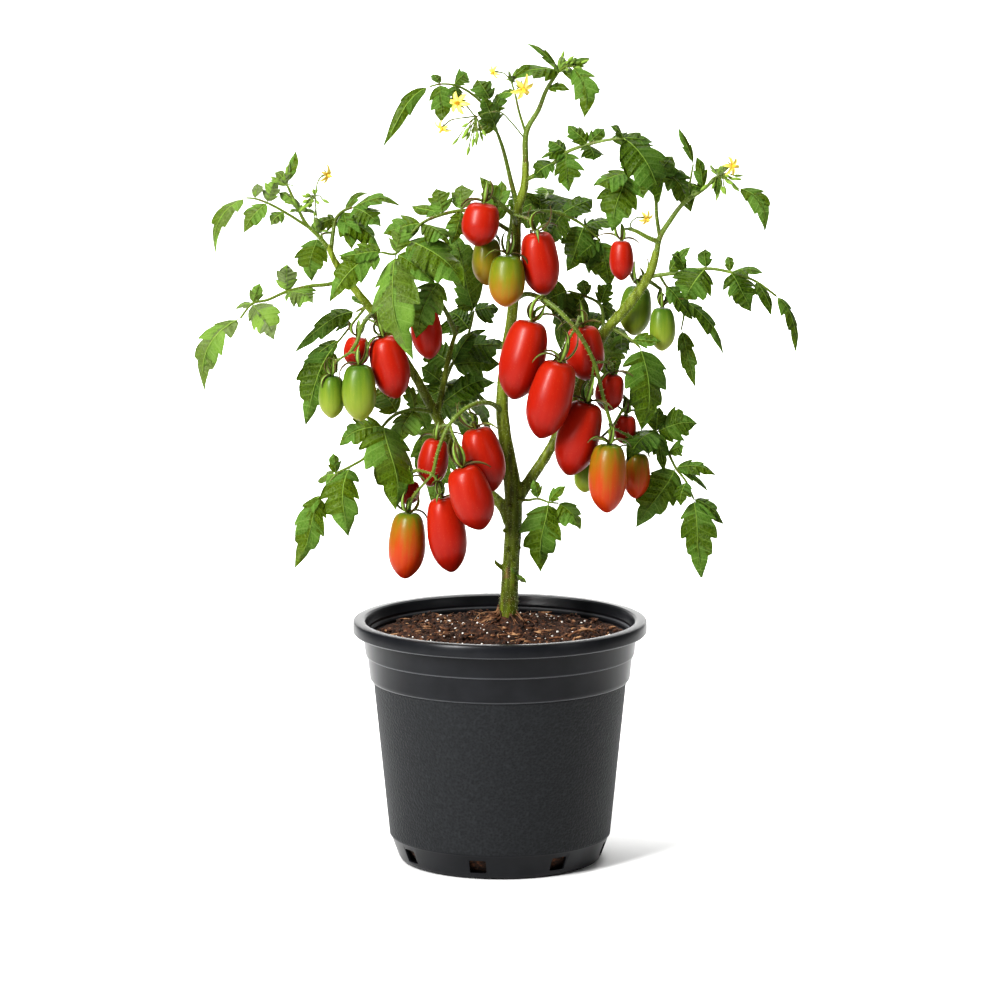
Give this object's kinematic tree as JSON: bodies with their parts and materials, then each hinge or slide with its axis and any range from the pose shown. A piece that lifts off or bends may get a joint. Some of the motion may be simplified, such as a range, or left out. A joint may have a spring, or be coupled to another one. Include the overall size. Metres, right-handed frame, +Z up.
{
  "type": "potted plum tomato plant",
  "caption": "Bush plum tomato plant with hanging trusses of ripe and ripening fruit, lobed leaves and small yellow flowers, growing in a round tapered nursery pot filled with compost.",
  "frame": {"origin": "centre of the pot's flat base, on the ground", "axes": "+Z straight up along the pot's axis, -Y towards the viewer of the front, +X to the viewer's right"},
  "size_m": [0.5666, 0.3303, 0.7811],
  "materials": {
    "pot_plastic": "fine-grained moulded plastic",
    "compost": "rough moist compost with bark",
    "stem_green": "smooth living stem",
    "leaf_green": "soft veined leaf",
    "fruit_red": "glossy skin",
    "fruit_orange": "glossy skin",
    "fruit_turning": "glossy skin",
    "fruit_green": "glossy skin",
    "petal_yellow": "soft petal"
  },
  "bodies": {
    "root": {"flower_apex": "petal_yellow", "flower_apex_small": "petal_yellow", "flower_left": "petal_yellow", "flower_right": "petal_yellow", "flower_top_left_1": "petal_yellow", "flower_top_left_2": "petal_yellow", "flower_upper_right": "petal_yellow", "fruit_back_left_1": "fruit_red", "fruit_centre_1": "fruit_red", "fruit_centre_2": "fruit_red", "fruit_centre_3": "fruit_red", "fruit_centre_4": "fruit_orange", "fruit_centre_5": "fruit_orange", "fruit_centre_6": "fruit_green", "fruit_centre_7": "fruit_red", "fruit_centre_8": "fruit_red", "fruit_centre_9": "fruit_red", "fruit_left_1": "fruit_red", "fruit_left_2": "fruit_green", "fruit_left_3": "fruit_green", "fruit_left_4": "fruit_red", "fruit_lower_1": "fruit_red", "fruit_lower_2": "fruit_red", "fruit_lower_3": "fruit_red", "fruit_lower_4": "fruit_orange", "fruit_lower_5": "fruit_red", "fruit_lower_6": "fruit_red", "fruit_right_1": "fruit_green", "fruit_right_2": "fruit_green", "fruit_top_1": "fruit_red", "fruit_top_2": "fruit_turning", "fruit_top_3": "fruit_turning", "fruit_top_4": "fruit_red", "fruit_upper_right_1": "fruit_red", "leaf_back_centre": "leaf_green", "leaf_back_left": "leaf_green", "leaf_back_upper": "leaf_green", "leaf_front_left": "leaf_green", "leaf_left_long": "leaf_green", "leaf_left_low": "leaf_green", "leaf_left_mid": "leaf_green", "leaf_left_upper": "leaf_green", "leaf_lower_small": "leaf_green", "leaf_right_long": "leaf_green", "leaf_right_low": "leaf_green", "leaf_right_mid": "leaf_green", "leaf_upper_right": "leaf_green", "main_stem": "stem_green", "pot": "pot_plastic", "shoot_apex": "leaf_green", "shoot_left_tip": "leaf_green", "shoot_right_tip": "leaf_green", "shoot_top_left": "leaf_green", "soil": "compost", "truss_back_left": "stem_green", "truss_centre": "stem_green", "truss_left": "stem_green", "truss_lower": "stem_green", "truss_right": "stem_green", "truss_top": "stem_green"}
  },
  "joints": []
}
